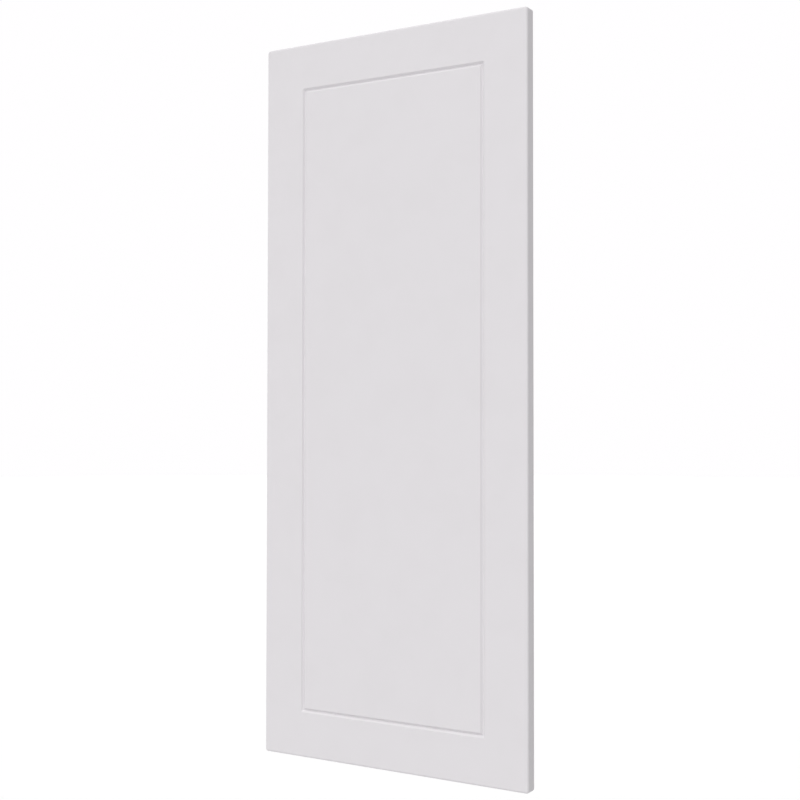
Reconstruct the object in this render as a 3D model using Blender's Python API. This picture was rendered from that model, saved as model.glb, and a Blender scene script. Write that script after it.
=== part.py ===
"""Kitchen cabinet door, milled from one board, with a routed frame line and bores for cup hinges.

Metres, +Z up. The front faces -Y, and the back lies in the plane Y = 0. The origin is the
centre of the back. The hinges go along the long edge at -X, on the left as seen from the front.
"""

import math

import bmesh
import bpy

# Board
DOOR_HEIGHT = 0.956
DOOR_WIDTH = 0.396
DOOR_THICKNESS = 0.018
FRONT_EDGE_RADIUS = 0.003
BACK_EDGE_RADIUS = 0.003
OUTLINE_CORNER_RADIUS = 0.004

# Frame line: the groove that a round-nosed V bit leaves along a rectangle on the front
FRAME_WIDTH = 0.0625
GROOVE_DEPTH = 0.0025
GROOVE_NOSE_RADIUS = 0.001
GROOVE_BIT_ANGLE = math.radians(90.0)

# Hinge bores: flat-bottomed, each with the small cone that the centre point of the bit leaves
HINGE_COUNT = 3
HINGE_END_DISTANCE = 0.100
CUP_DIAMETER = 0.035
CUP_DEPTH = 0.013
CUP_EDGE_WALL = 0.005
CENTRE_POINT_DIAMETER = 0.003
CENTRE_POINT_DEPTH = 0.0012

# How finely curves are divided
EDGE_SEGMENTS = 6
GROOVE_CORNER_SEGMENTS = 8
GROOVE_NOSE_SEGMENTS = 4
CUP_SEGMENTS = 64

# How far each cutter stands out of the surface it goes in by
CUTTER_OVERSHOOT = 0.001
MERGE_DISTANCE = 0.00001

DOOR_COLOUR = (0.738, 0.716, 0.738, 1.0)
DOOR_ROUGHNESS = 0.55

FRONT_Y = -DOOR_THICKNESS
BACK_Y = 0.0


def clear_scene():
    """Removes what a new file holds."""
    for scene_object in list(bpy.data.objects):
        bpy.data.objects.remove(scene_object)


def painted_surface(name, colour, roughness):
    """A plain, non-metallic coat of one colour."""
    material = bpy.data.materials.new(name)
    material.use_nodes = True
    shader = material.node_tree.nodes["Principled BSDF"]
    shader.inputs["Base Color"].default_value = colour
    shader.inputs["Roughness"].default_value = roughness
    shader.inputs["Metallic"].default_value = 0.0
    return material


def add_object(name, bm):
    """Makes a smooth-shaded object of a bmesh, and frees the bmesh."""
    mesh = bpy.data.meshes.new(name)
    bm.to_mesh(mesh)
    bm.free()
    mesh.shade_smooth()
    made = bpy.data.objects.new(name, mesh)
    bpy.context.scene.collection.objects.link(made)
    return made


def edge_radius(edge):
    """The rounding of one of the board's twelve edges: front, back or outline corner."""
    heights = [vert.co.y for vert in edge.verts]
    if max(heights) - min(heights) > DOOR_THICKNESS / 2:
        return OUTLINE_CORNER_RADIUS
    if max(heights) < (FRONT_Y + BACK_Y) / 2:
        return FRONT_EDGE_RADIUS
    return BACK_EDGE_RADIUS


def make_board(name):
    """The board, with every edge rounded by a Bevel modifier that weighs each edge's radius."""
    bm = bmesh.new()
    bmesh.ops.create_cube(bm, size=1.0)
    bmesh.ops.scale(bm, vec=(DOOR_WIDTH, DOOR_THICKNESS, DOOR_HEIGHT), verts=bm.verts)
    bmesh.ops.translate(bm, vec=(0.0, (FRONT_Y + BACK_Y) / 2, 0.0), verts=bm.verts)
    largest_radius = max(FRONT_EDGE_RADIUS, BACK_EDGE_RADIUS, OUTLINE_CORNER_RADIUS)
    weights = bm.edges.layers.float.new("bevel_weight_edge")
    for edge in bm.edges:
        edge[weights] = edge_radius(edge) / largest_radius
    board = add_object(name, bm)
    rounding = board.modifiers.new("rounded_edges", "BEVEL")
    rounding.limit_method = "WEIGHT"
    rounding.width = largest_radius
    rounding.segments = EDGE_SEGMENTS
    return board


def bit_half_section():
    """Points (distance from the bit's axis, Y) from its tip up past the front face.

    The nose is an arc of GROOVE_NOSE_RADIUS, and the straight flank leaves it at a tangent.
    """
    half_angle = GROOVE_BIT_ANGLE / 2
    nose_centre_y = FRONT_Y + GROOVE_DEPTH - GROOVE_NOSE_RADIUS
    nose_sweep = math.pi / 2 - half_angle
    points = []
    for step in range(GROOVE_NOSE_SEGMENTS + 1):
        turn = nose_sweep * step / GROOVE_NOSE_SEGMENTS
        out = GROOVE_NOSE_RADIUS * math.sin(turn)
        points.append((out, nose_centre_y + GROOVE_NOSE_RADIUS * math.cos(turn)))
    tangent_out, tangent_y = points[-1]
    top_y = FRONT_Y - CUTTER_OVERSHOOT
    points.append((tangent_out + (tangent_y - top_y) * math.tan(half_angle), top_y))
    return points


def path_loop(bm, offset, y):
    """A closed loop of edges at a distance from the frame line, outward if offset is positive.

    Outside the line its corners are arcs about the line's corners, as a turning bit leaves them.
    Inside, each arc shrinks to one point, and the loop is a smaller rectangle.
    """
    half_width = DOOR_WIDTH / 2 - FRAME_WIDTH + min(offset, 0.0)
    half_height = DOOR_HEIGHT / 2 - FRAME_WIDTH + min(offset, 0.0)
    arc_radius = max(offset, 0.0)
    verts = []
    for quarter, (side_x, side_z) in enumerate(((1, 1), (-1, 1), (-1, -1), (1, -1))):
        for step in range(GROOVE_CORNER_SEGMENTS + 1):
            turn = (quarter + step / GROOVE_CORNER_SEGMENTS) * math.pi / 2
            x = side_x * half_width + arc_radius * math.cos(turn)
            z = side_z * half_height + arc_radius * math.sin(turn)
            verts.append(bm.verts.new((x, y, z)))
    return [bm.edges.new((verts[i - 1], verts[i])) for i in range(len(verts))]


def make_groove_cutter(name):
    """The space that the bit sweeps: its section, carried round the frame line."""
    half_section = bit_half_section()
    section = [(-out, y) for out, y in reversed(half_section[1:])] + half_section
    bm = bmesh.new()
    loops = [path_loop(bm, offset, y) for offset, y in section]
    for i in range(len(loops)):
        bmesh.ops.bridge_loops(bm, edges=loops[i - 1] + loops[i])
    bmesh.ops.remove_doubles(bm, verts=bm.verts, dist=MERGE_DISTANCE)
    bmesh.ops.recalc_face_normals(bm, faces=bm.faces)
    return add_object(name, bm)


def cup_cutter_mesh(name):
    """The turned outline of a hinge-boring bit. Its origin is the middle of the bore's mouth."""
    outline = (
        (0.0, -CUP_DEPTH - CENTRE_POINT_DEPTH),
        (CENTRE_POINT_DIAMETER / 2, -CUP_DEPTH),
        (CUP_DIAMETER / 2, -CUP_DEPTH),
        (CUP_DIAMETER / 2, CUTTER_OVERSHOOT),
        (0.0, CUTTER_OVERSHOOT),
    )
    bm = bmesh.new()
    verts = [bm.verts.new((out, y, 0.0)) for out, y in outline]
    edges = [bm.edges.new(pair) for pair in zip(verts, verts[1:])]
    bmesh.ops.spin(
        bm,
        geom=verts + edges,
        cent=(0.0, 0.0, 0.0),
        axis=(0.0, 1.0, 0.0),
        angle=2 * math.pi,
        steps=CUP_SEGMENTS,
        use_merge=True,
    )
    bmesh.ops.remove_doubles(bm, verts=bm.verts, dist=MERGE_DISTANCE)
    bmesh.ops.recalc_face_normals(bm, faces=bm.faces)
    mesh = bpy.data.meshes.new(name)
    bm.to_mesh(mesh)
    bm.free()
    mesh.shade_smooth()
    mesh.set_sharp_from_angle(angle=math.radians(30.0))
    return mesh


def hinge_heights():
    """Z of each bore: one near each end, and the rest evenly between."""
    lowest = -DOOR_HEIGHT / 2 + HINGE_END_DISTANCE
    spacing = (DOOR_HEIGHT - 2 * HINGE_END_DISTANCE) / (HINGE_COUNT - 1)
    return [lowest + spacing * i for i in range(HINGE_COUNT)]


def cut(workpiece, cutter):
    """Takes a cutter's space out of the workpiece. The cutter is only a guide, and never renders."""
    cutter.hide_render = True
    cutter.display_type = "WIRE"
    boolean = workpiece.modifiers.new(cutter.name, "BOOLEAN")
    boolean.operation = "DIFFERENCE"
    boolean.solver = "EXACT"
    boolean.object = cutter


def bore_hinge_cups(door):
    """Bores the row of hinge cups into the back, along the edge at -X."""
    cup_x = -DOOR_WIDTH / 2 + CUP_EDGE_WALL + CUP_DIAMETER / 2
    mesh = cup_cutter_mesh("hinge_cup_cutter")
    for i, height in enumerate(hinge_heights()):
        cutter = bpy.data.objects.new(f"hinge_cup_cutter_{i + 1}", mesh)
        bpy.context.scene.collection.objects.link(cutter)
        cutter.parent = door
        cutter.location = (cup_x, BACK_Y, height)
        cut(door, cutter)


clear_scene()
door_panel = make_board("door_panel")
door_panel.data.materials.append(painted_surface("matt_white_coat", DOOR_COLOUR, DOOR_ROUGHNESS))
groove_cutter = make_groove_cutter("frame_line_cutter")
groove_cutter.parent = door_panel
cut(door_panel, groove_cutter)
bore_hinge_cups(door_panel)
flat_faces = door_panel.modifiers.new("flat_faces_stay_flat", "WEIGHTED_NORMAL")
flat_faces.keep_sharp = True
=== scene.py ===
"""Kitchen cabinet door: the looks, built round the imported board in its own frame, in metres."""

import math

import bmesh
import bpy
from mathutils import Matrix, Quaternion, Vector


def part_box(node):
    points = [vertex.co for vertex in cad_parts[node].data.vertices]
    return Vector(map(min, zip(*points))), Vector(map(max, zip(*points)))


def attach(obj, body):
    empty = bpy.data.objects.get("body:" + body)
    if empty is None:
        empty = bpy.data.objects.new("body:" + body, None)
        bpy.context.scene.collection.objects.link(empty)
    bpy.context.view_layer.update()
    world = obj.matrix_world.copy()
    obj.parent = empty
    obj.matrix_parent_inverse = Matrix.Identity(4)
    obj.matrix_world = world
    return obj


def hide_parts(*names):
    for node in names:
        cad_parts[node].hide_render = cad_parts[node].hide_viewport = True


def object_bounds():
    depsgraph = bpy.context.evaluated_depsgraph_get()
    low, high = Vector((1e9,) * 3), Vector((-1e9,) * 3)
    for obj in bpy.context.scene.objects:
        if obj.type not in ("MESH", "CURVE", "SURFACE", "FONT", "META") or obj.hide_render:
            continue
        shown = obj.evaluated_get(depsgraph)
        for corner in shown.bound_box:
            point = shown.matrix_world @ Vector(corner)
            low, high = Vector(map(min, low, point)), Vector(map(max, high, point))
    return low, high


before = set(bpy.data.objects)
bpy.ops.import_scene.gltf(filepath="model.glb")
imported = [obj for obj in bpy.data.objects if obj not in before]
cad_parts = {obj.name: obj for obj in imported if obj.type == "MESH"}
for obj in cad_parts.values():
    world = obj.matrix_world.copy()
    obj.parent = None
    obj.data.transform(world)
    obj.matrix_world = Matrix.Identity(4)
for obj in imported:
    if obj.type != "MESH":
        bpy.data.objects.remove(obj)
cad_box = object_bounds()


# The view
# A camera at the right of the door and about level with its middle, as in the photograph. It
# looks up a little, so the door's long edges run together very slightly towards the top.
VIEW_AZIMUTH = math.radians(31.57)
VIEW_ELEVATION = math.radians(-1.46)
VIEW_ROLL = math.radians(0.057)
VIEW_DISTANCE = 1.7136
VIEW_LENS = 60.10
VIEW_SHIFT_UP = -0.0255
SENSOR_WIDTH = 36.0
VIEW_TARGET = Vector((0.0162, -0.018, 0.0235))

view_back = Vector((
    math.sin(VIEW_AZIMUTH) * math.cos(VIEW_ELEVATION),
    -math.cos(VIEW_AZIMUTH) * math.cos(VIEW_ELEVATION),
    math.sin(VIEW_ELEVATION),
))
view_turn = (-view_back).to_track_quat("-Z", "Y") @ Quaternion((0.0, 0.0, 1.0), VIEW_ROLL)
camera_data = bpy.data.cameras.new("camera")
camera_data.lens = VIEW_LENS
camera_data.sensor_width = SENSOR_WIDTH
camera_data.shift_y = VIEW_SHIFT_UP
camera = bpy.data.objects.new("camera", camera_data)
bpy.context.scene.collection.objects.link(camera)
camera.location = VIEW_TARGET + view_back * VIEW_DISTANCE
camera.rotation_euler = view_turn.to_euler()
bpy.context.scene.camera = camera
bpy.context.scene.view_settings.view_transform = "Standard"


# The studio
# A white room. Broad key light comes from high in front, a weaker fill from straight in front and
# another from behind on the left, and the room's walls give even light from every side. The pale
# floor lies as far below the door as a kitchen floor lies below a wall cabinet.
ROOM_COLOUR = (1.0, 1.0, 1.0, 1.0)
ROOM_LIGHT = 0.363
BACKGROUND_COLOUR = (1.0, 0.992, 1.0, 1.0)
BACKGROUND_STRENGTH = 1.0
LAMP_SOFTNESS = math.radians(50.0)
KEY_FROM = Vector((0.0, -0.55, 0.83))
KEY_STRENGTH = 1.63
FILL_FROM = Vector((0.0, -1.0, 0.05))
FILL_STRENGTH = 0.73
BACK_FROM = Vector((-0.6, 0.75, 0.3))
BACK_STRENGTH = 0.9
FLOOR_DROP = 1.45
FLOOR_RADIUS = 40.0
FLOOR_STEPS = 96
FLOOR_COLOUR = (0.8, 0.8, 0.8, 1.0)
FLOOR_ROUGHNESS = 1.0
FLOOR_GLOW = 0.25


class Value:
    """A number that changes over a surface: an output of a node, for use in expressions."""

    def __init__(self, finish, socket):
        self.finish = finish
        self.socket = socket

    def __add__(self, other):
        return self.finish.math("ADD", self, other)

    def __radd__(self, other):
        return self.finish.math("ADD", other, self)

    def __sub__(self, other):
        return self.finish.math("SUBTRACT", self, other)

    def __rsub__(self, other):
        return self.finish.math("SUBTRACT", other, self)

    def __mul__(self, other):
        return self.finish.math("MULTIPLY", self, other)

    def __rmul__(self, other):
        return self.finish.math("MULTIPLY", other, self)


class Finish:
    """The nodes of a material or of the world."""

    def __init__(self, owner):
        owner.use_nodes = True
        self.tree = owner.node_tree

    def add(self, node_type, settings, sockets, output=0):
        """A node with its settings made, then its sockets set or linked. Gives one output."""
        node = self.tree.nodes.new(node_type)
        for name, setting in settings.items():
            setattr(node, name, setting)
        self.feed(node, sockets)
        return Value(self, node.outputs[output])

    def math(self, operation, *operands):
        """A Math node on one or two values or numbers."""
        return self.add("ShaderNodeMath", {"operation": operation}, dict(enumerate(operands)))

    def feed(self, node, sockets):
        """Sets or links a node's sockets, each by its name or its number."""
        for key, given in sockets.items():
            if isinstance(given, Value):
                self.tree.links.new(given.socket, node.inputs[key])
            else:
                node.inputs[key].default_value = given

    def surface(self, sockets):
        """Sets or links the sockets of a material's own shader."""
        self.feed(self.tree.nodes["Principled BSDF"], sockets)

    def seen_directly(self):
        """1 for what the camera sees, also in gloss or through glass, and 0 for light that falls."""
        camera_ray = self.add("ShaderNodeLightPath", {}, {}, "Is Camera Ray")
        glossy_ray = self.add("ShaderNodeLightPath", {}, {}, "Is Glossy Ray")
        transmission_ray = self.add("ShaderNodeLightPath", {}, {}, "Is Transmission Ray")
        return camera_ray + glossy_ray + transmission_ray


def add_lamp(name, towards, strength):
    """A broad lamp in one direction from the object, whose light doesn't fall off."""
    lamp = bpy.data.lights.new(name, "SUN")
    lamp.energy = strength
    lamp.angle = LAMP_SOFTNESS
    made = bpy.data.objects.new(name, lamp)
    made.rotation_euler = towards.to_track_quat("Z", "Y").to_euler()
    bpy.context.scene.collection.objects.link(made)


add_lamp("key_lamp", KEY_FROM, KEY_STRENGTH)
add_lamp("fill_lamp", FILL_FROM, FILL_STRENGTH)
add_lamp("back_lamp", BACK_FROM, BACK_STRENGTH)

world = bpy.data.worlds.new("white_room")
bpy.context.scene.world = world
room = Finish(world)
room_light = room.tree.nodes["Background"]
room.feed(room_light, {"Color": ROOM_COLOUR, "Strength": ROOM_LIGHT})
lit_room = Value(room, room_light.outputs["Background"])
backdrop_sockets = {"Color": BACKGROUND_COLOUR, "Strength": BACKGROUND_STRENGTH}
backdrop = room.add("ShaderNodeBackground", {}, backdrop_sockets)
shown = room.add("ShaderNodeMixShader", {}, {0: room.seen_directly(), 1: lit_room, 2: backdrop})
room.feed(room.tree.nodes["World Output"], {"Surface": shown})

floor_bm = bmesh.new()
bmesh.ops.create_circle(floor_bm, cap_ends=True, segments=FLOOR_STEPS, radius=FLOOR_RADIUS)
bmesh.ops.translate(floor_bm, vec=(0.0, 0.0, cad_box[0].z - FLOOR_DROP), verts=floor_bm.verts)
floor_mesh = bpy.data.meshes.new("floor")
floor_bm.to_mesh(floor_mesh)
floor_bm.free()
floor = bpy.data.objects.new("floor", floor_mesh)
bpy.context.scene.collection.objects.link(floor)
floor_material = bpy.data.materials.new("pale_floor")
floor_finish = Finish(floor_material)
floor_finish.surface({
    "Base Color": FLOOR_COLOUR,
    "Roughness": FLOOR_ROUGHNESS,
    "Emission Color": floor_finish.seen_directly(),
    "Emission Strength": FLOOR_GLOW,
})
floor_mesh.materials.append(floor_material)


# The board
# Medium density fibreboard, 18 mm thick, with a white melamine skin on its back. A router has
# rounded its edges, and has cut a V groove with a rounded bottom along a rectangle on its front,
# which gives the look of a frame. The front and edges are sprayed with a matt coat.
FRONT_ROUNDING = 0.003
BACK_ROUNDING = 0.003
OUTLINE_ROUNDING = 0.004
LEAST_ROUNDING = 0.0002
FRAME_WIDTH = 0.0625
GROOVE_DEPTH = 0.0025
GROOVE_NOSE = 0.001
GROOVE_LIP = 0.0008
GROOVE_FLANK = math.radians(45.0)
SHOULDER = 0.0005
LEVEL_STEP = 0.0005
ARC_STEPS = 12
CORNER_STEPS = 16
WELD = 0.000001
CREASE = math.radians(15.0)

COAT_COLOUR = (0.738, 0.716, 0.738, 1.0)
COAT_COLOUR_THIN = (0.729, 0.707, 0.728, 1.0)
COAT_ROUGHNESS = 0.58
COAT_ROUGHNESS_CHANGE = 0.08
COAT_CLOUD = 0.045
COAT_CLOUD_RANGE = (0.35, 0.75)
PEEL_GRAIN = 0.0013
PEEL_HEIGHT = 0.000007
SURFACE_WAVE = 0.035
SURFACE_WAVE_HEIGHT = 0.00003

SKIN_COLOUR = (0.80, 0.79, 0.775, 1.0)
SKIN_ROUGHNESS = 0.40
PEARL_GRAIN = 0.0008
PEARL_HEIGHT = 0.000012
OVERSPRAY_REACH = 0.007
OVERSPRAY_RAGGED = 0.003
OVERSPRAY_LOBE = 0.03
OVERSPRAY_SOFTNESS = 0.004
OVERSPRAY_DUST = 0.0006
SPECKLE_MEAN = 0.5

board_low, board_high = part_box("door_panel")
board_size = board_high - board_low
front_y = board_low.y
back_y = board_high.y


def arc(centre, radius, start, end):
    """Points on a round stretch of the board's section, from one angle to another."""
    turns = [start + (end - start) * i / ARC_STEPS for i in range(ARC_STEPS + 1)]
    return [(centre[0] + radius * math.cos(t), centre[1] + radius * math.sin(t)) for t in turns]


def groove_half_section():
    """(distance from the groove's middle, Y) from its rounded bottom out to the flat front."""
    nose_centre = (0.0, front_y + GROOVE_DEPTH - GROOVE_NOSE)
    nose = arc(nose_centre, GROOVE_NOSE, math.pi / 2, GROOVE_FLANK)
    nose_out, nose_y = nose[-1]
    lip_reach = GROOVE_LIP * math.tan(GROOVE_FLANK / 2)
    lip_out = nose_out + (nose_y - front_y) * math.tan(GROOVE_FLANK) + lip_reach
    lip_start = math.pi + GROOVE_FLANK
    lip = arc((lip_out, front_y + GROOVE_LIP), GROOVE_LIP, lip_start, 3 * math.pi / 2)
    return nose + lip + [(lip_out + SHOULDER, front_y)]


def board_section():
    """(inset from the outline, corner rounding, Y) from the back, over the edge, to the middle."""
    back = arc((BACK_ROUNDING, back_y - BACK_ROUNDING), BACK_ROUNDING, math.pi / 2, math.pi)
    front_centre = (FRONT_ROUNDING, front_y + FRONT_ROUNDING)
    front = arc(front_centre, FRONT_ROUNDING, math.pi, 3 * math.pi / 2)
    edge = [(BACK_ROUNDING + SHOULDER, back_y)] + back + front + [(FRONT_ROUNDING + SHOULDER, front_y)]
    groove = groove_half_section()
    outer = [(inset, OUTLINE_ROUNDING - inset, y) for inset, y in edge]
    outer += [(FRAME_WIDTH - out, out, y) for out, y in reversed(groove)]
    return outer + [(FRAME_WIDTH + out, 0.0, y) for out, y in groove[1:]]


def add_outline(bm, inset, rounding):
    """The vertices of a closed loop, inset from the board's outline, with its corners rounded."""
    rounding = max(rounding, LEAST_ROUNDING)
    ring = bmesh.ops.create_circle(bm, segments=4 * CORNER_STEPS, radius=1.0)["verts"]
    half_step = Matrix.Rotation(math.pi / (4 * CORNER_STEPS), 3, "Z")
    bmesh.ops.rotate(bm, verts=ring, cent=(0.0, 0.0, 0.0), matrix=half_step)
    reach_x = board_size.x / 2 - inset - rounding
    reach_z = board_size.z / 2 - inset - rounding
    for vert in ring:
        across, up = vert.co.x, vert.co.y
        vert.co.x = across * rounding + math.copysign(reach_x, across)
        vert.co.z = up * rounding + math.copysign(reach_z, up)
    return ring


def edges_of(ring):
    """The edges of a loop to which nothing has been bridged yet."""
    return list({edge for vert in ring for edge in vert.link_edges})


# While neighbouring loops are bridged, each has a level of its own, so that none lie in one
# plane and all are paired the same way round. Then each goes to its own Y.
board_bm = bmesh.new()
section = board_section()
outlines = [add_outline(board_bm, inset, rounding) for inset, rounding, y in section]
for level, ring in enumerate(outlines):
    for vert in ring:
        vert.co.y = -level * LEVEL_STEP
loops = [edges_of(ring) for ring in outlines]
for outer, inner in zip(loops, loops[1:]):
    bmesh.ops.bridge_loops(board_bm, edges=outer + inner)
for end in (loops[0], loops[-1]):
    bmesh.ops.edgeloop_fill(board_bm, edges=end)
for ring, (inset, rounding, y) in zip(outlines, section):
    for vert in ring:
        vert.co.y = y
bmesh.ops.remove_doubles(board_bm, verts=board_bm.verts, dist=WELD)
bmesh.ops.recalc_face_normals(board_bm, faces=board_bm.faces)
board_bm.normal_update()
for face in board_bm.faces:
    face.smooth = True
    face.material_index = 1 if min(vert.co.y for vert in face.verts) > back_y - WELD else 0
door_mesh = bpy.data.meshes.new("door")
board_bm.to_mesh(door_mesh)
board_bm.free()
door = bpy.data.objects.new("door", door_mesh)
bpy.context.scene.collection.objects.link(door)


def place_on_board(finish):
    """The place of each point, in the object's own coordinates."""
    return finish.add("ShaderNodeTexCoord", {}, {}, "Object")


def along(finish, place, axis):
    """The X, Y or Z of a place."""
    return finish.add("ShaderNodeSeparateXYZ", {}, {"Vector": place}, axis)


def speckle(finish, place, grain, detail=2.0, roughness=0.5):
    """Soft random spots of about one size, from 0 to 1."""
    sockets = {"Vector": place, "Scale": 1 / grain, "Detail": detail, "Roughness": roughness}
    return finish.add("ShaderNodeTexNoise", {}, sockets, "Fac")


def ramp(finish, value, start, end):
    """0 up to one value, 1 from another, and a smooth change between them."""
    sockets = {"Value": value, "From Min": start, "From Max": end}
    return finish.add("ShaderNodeMapRange", {"interpolation_type": "SMOOTHSTEP"}, sockets)


def blend(finish, mask, colour, other):
    """One colour where the mask is 0, and the other where it is 1."""
    sockets = {"Factor": mask, 6: colour, 7: other}
    return finish.add("ShaderNodeMix", {"data_type": "RGBA"}, sockets, 2)


def relief(finish, height):
    """The normal of a surface that stands proud by that many metres."""
    return finish.add("ShaderNodeBump", {}, {"Strength": 1.0, "Distance": 1.0, "Height": height})


# The coat: a sprayed matt lacquer. It is faintly clouded where it went on thinner, and dried
# with a fine orange peel over the board's own slow waves.
coat_material = bpy.data.materials.new("sprayed_coat")
coat = Finish(coat_material)
place = place_on_board(coat)
cloud = speckle(coat, place, COAT_CLOUD)
peel = speckle(coat, place, PEEL_GRAIN, detail=1.0)
wave = speckle(coat, place, SURFACE_WAVE, detail=0.0)
thin = ramp(coat, cloud, *COAT_CLOUD_RANGE)
coat.surface({
    "Base Color": blend(coat, thin, COAT_COLOUR, COAT_COLOUR_THIN),
    "Roughness": COAT_ROUGHNESS + COAT_ROUGHNESS_CHANGE * (cloud - SPECKLE_MEAN),
    "Normal": relief(coat, PEEL_HEIGHT * peel + SURFACE_WAVE_HEIGHT * wave),
})

# The skin on the back: smooth white melamine with a fine pearl grain. The coat's overspray has
# settled on it along the edges, thinning out to dust within about a centimetre.
skin_material = bpy.data.materials.new("melamine_skin")
skin = Finish(skin_material)
place = place_on_board(skin)
from_side = board_size.x / 2 - skin.math("ABSOLUTE", along(skin, place, "X"))
from_end = board_size.z / 2 - skin.math("ABSOLUTE", along(skin, place, "Z"))
from_edge = skin.math("MINIMUM", from_side, from_end)
ragged = OVERSPRAY_RAGGED * (speckle(skin, place, OVERSPRAY_LOBE) - SPECKLE_MEAN)
dust = OVERSPRAY_SOFTNESS * (speckle(skin, place, OVERSPRAY_DUST) - SPECKLE_MEAN)
reach = from_edge + ragged + dust
overspray = ramp(skin, reach, OVERSPRAY_REACH, OVERSPRAY_REACH - OVERSPRAY_SOFTNESS)
pearl = speckle(skin, place, PEARL_GRAIN, detail=1.0)
skin.surface({
    "Base Color": blend(skin, overspray, SKIN_COLOUR, COAT_COLOUR),
    "Roughness": SKIN_ROUGHNESS + (COAT_ROUGHNESS - SKIN_ROUGHNESS) * overspray,
    "Normal": relief(skin, PEARL_HEIGHT * pearl),
})
door_mesh.materials.append(coat_material)
door_mesh.materials.append(skin_material)


# The hinge bores
# Three round bores for 35 mm cup hinges, drilled into the back after the door was coated, so the
# bare board shows in them. The bit leaves a flat bottom with fine rings, the cone of its centre
# point, darkened in colour for burnished fibre and as painted shade, and the deeper ring that its
# spurs scribe.
BORE_COUNT = 3
BORE_RADIUS = 0.0175
BORE_DEPTH = 0.013
BORE_EDGE_WALL = 0.005
BORE_END_DISTANCE = 0.100
CENTRE_POINT_RADIUS = 0.0015
CENTRE_POINT_DEPTH = 0.0012
SPUR_RING_WIDTH = 0.0008
SPUR_RING_DEPTH = 0.0003
BORE_STEPS = 128
BORE_OVERSHOOT = 0.001

FIBRE_COLOUR = (0.52, 0.37, 0.22, 1.0)
FIBRE_COLOUR_DARK = (0.30, 0.185, 0.095, 1.0)
FIBRE_ROUGHNESS = 0.95
FIBRE_GRAIN = 0.0006
FIBRE_PATCH = 0.0048
FIBRE_HEIGHT = 0.0001
DARK_FIBRE_RANGE = (0.58, 0.88)
PATCH_DARKNESS = 0.3
PRESSED_DARKNESS = 0.25
PRESSED_LAYER = 0.002
# Darkening of the centre point's cone: partly burnished fibre, partly painted shade in the hollow.
BURNISH_AND_SHADE_DARKNESS = 0.25
BURNISH_AND_SHADE_CORE = 0.00105
SKIN_THICKNESS = 0.00035
SKIN_SOFT_EDGE = 0.00007
SKIN_CHIPPING = 0.0003
SKIN_CHIP_SIZE = 0.0015
CUT_SKIN_ROUGHNESS = 0.45
TOOL_RING_SPACING = 0.0011
TOOL_RING_HEIGHT = 0.00004
TOOL_RING_WANDER = 0.0004

bore_x = board_low.x + BORE_EDGE_WALL + BORE_RADIUS
bore_spacing = (board_size.z - 2 * BORE_END_DISTANCE) / (BORE_COUNT - 1)
bore_centres = [
    Vector((bore_x, back_y, board_low.z + BORE_END_DISTANCE + bore_spacing * i))
    for i in range(BORE_COUNT)
]

fibre_material = bpy.data.materials.new("bare_fibreboard")
fibre = Finish(fibre_material)
place = place_on_board(fibre)
fibres = speckle(fibre, place, FIBRE_GRAIN, detail=4.0, roughness=0.65)
patches = speckle(fibre, place, FIBRE_PATCH)

# Each point's distance from the axis of the nearest bore. The bores are evenly spaced about the
# middle of the board, so the nearest one is found by rounding.
height = along(fibre, place, "Z")
nearest_height = bore_spacing * fibre.math("ROUND", height * (1 / bore_spacing))
out_x = along(fibre, place, "X") - bore_x
out_z = height - nearest_height
from_axis = fibre.math("SQRT", out_x * out_x + out_z * out_z)
ring_turn = (from_axis + TOOL_RING_WANDER * patches) * (2 * math.pi / TOOL_RING_SPACING)
tool_rings = fibre.math("SINE", ring_turn)

# The board is pressed hardest next to its skin, so it is darker there. The centre point's cone is
# darker too, partly burnished fibre and partly painted shade in its hollow. The skin shows as a
# thin white line, chipped where the bit broke through it.
from_back = back_y - along(fibre, place, "Y")
pressed = 1 - ramp(fibre, from_back, 0.0, PRESSED_LAYER)
burnish_and_painted_shade = 1 - ramp(fibre, from_axis, BURNISH_AND_SHADE_CORE, CENTRE_POINT_RADIUS)
hardened_and_shaded = PRESSED_DARKNESS * pressed + BURNISH_AND_SHADE_DARKNESS * burnish_and_painted_shade
dark = ramp(fibre, fibres + PATCH_DARKNESS * patches + hardened_and_shaded, *DARK_FIBRE_RANGE)
fibre_colour = blend(fibre, dark, FIBRE_COLOUR, FIBRE_COLOUR_DARK)
chips = speckle(fibre, place, SKIN_CHIP_SIZE, detail=3.0) - SPECKLE_MEAN
chipped = from_back + SKIN_CHIPPING * chips
in_skin = 1 - ramp(fibre, chipped, SKIN_THICKNESS - SKIN_SOFT_EDGE, SKIN_THICKNESS)
cut_height = FIBRE_HEIGHT * fibres + TOOL_RING_HEIGHT * tool_rings
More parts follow.
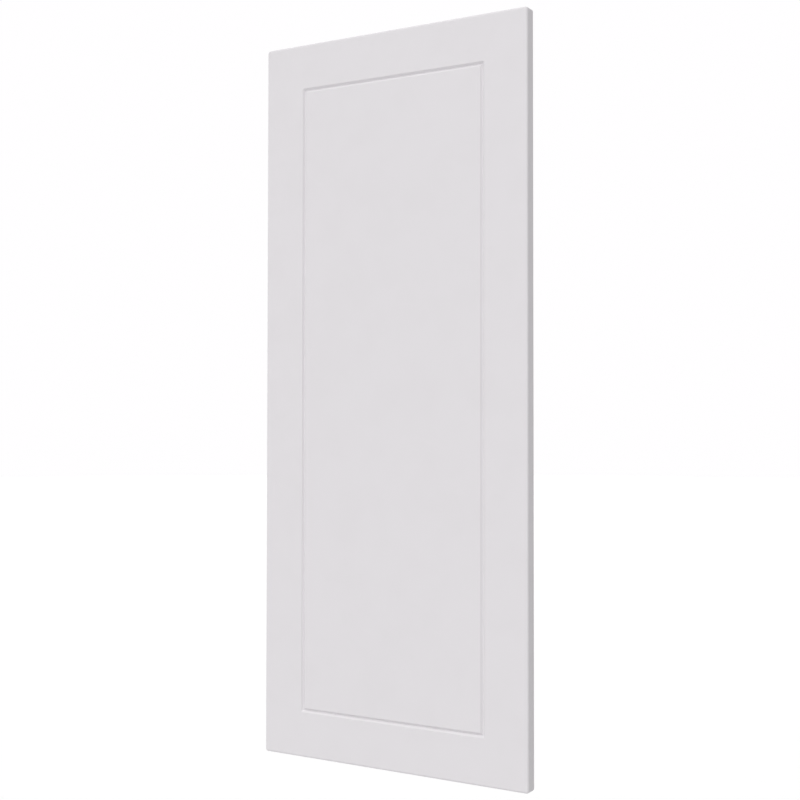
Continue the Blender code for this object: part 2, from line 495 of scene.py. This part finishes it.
fibre.surface({
    "Base Color": blend(fibre, in_skin, fibre_colour, SKIN_COLOUR),
    "Roughness": FIBRE_ROUGHNESS + (CUT_SKIN_ROUGHNESS - FIBRE_ROUGHNESS) * in_skin,
    "Normal": relief(fibre, cut_height * (1 - in_skin)),
})


def add_hinge_bit(bm, centre):
    """The turned outline of the bit, at one bore."""
    outline = (
        (0.0, BORE_DEPTH + CENTRE_POINT_DEPTH),
        (CENTRE_POINT_RADIUS, BORE_DEPTH),
        (BORE_RADIUS - SPUR_RING_WIDTH, BORE_DEPTH),
        (BORE_RADIUS, BORE_DEPTH + SPUR_RING_DEPTH),
        (BORE_RADIUS, -BORE_OVERSHOOT),
        (0.0, -BORE_OVERSHOOT),
    )
    verts = [bm.verts.new(centre + Vector((out, -depth, 0.0))) for out, depth in outline]
    edges = [bm.edges.new(pair) for pair in zip(verts, verts[1:])]
    bmesh.ops.spin(
        bm, geom=verts + edges, cent=centre, axis=(0.0, 1.0, 0.0),
        angle=2 * math.pi, steps=BORE_STEPS, use_merge=True,
    )


# One Boolean takes the three bits out together, and leaves bare board where they cut.
bits_bm = bmesh.new()
for centre in bore_centres:
    add_hinge_bit(bits_bm, centre)
bmesh.ops.remove_doubles(bits_bm, verts=bits_bm.verts, dist=WELD)
bmesh.ops.recalc_face_normals(bits_bm, faces=bits_bm.faces)
bits_mesh = bpy.data.meshes.new("hinge_bits")
bits_bm.to_mesh(bits_mesh)
bits_bm.free()
bits_mesh.materials.append(fibre_material)
bits = bpy.data.objects.new("hinge_bits", bits_mesh)
bpy.context.scene.collection.objects.link(bits)
bores = door.modifiers.new("bores", "BOOLEAN")
bores.operation = "DIFFERENCE"
bores.solver = "EXACT"
bores.material_mode = "TRANSFER"
bores.object = bits
bored = door.evaluated_get(bpy.context.evaluated_depsgraph_get())
door.data = bpy.data.meshes.new_from_object(bored)
door.modifiers.clear()
bpy.data.objects.remove(bits)
door.data.shade_smooth()
door.data.set_sharp_from_angle(angle=CREASE)

# The door is whole now. It takes the place of the solid, and rides where that does.
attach(door, "root")
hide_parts("door_panel")
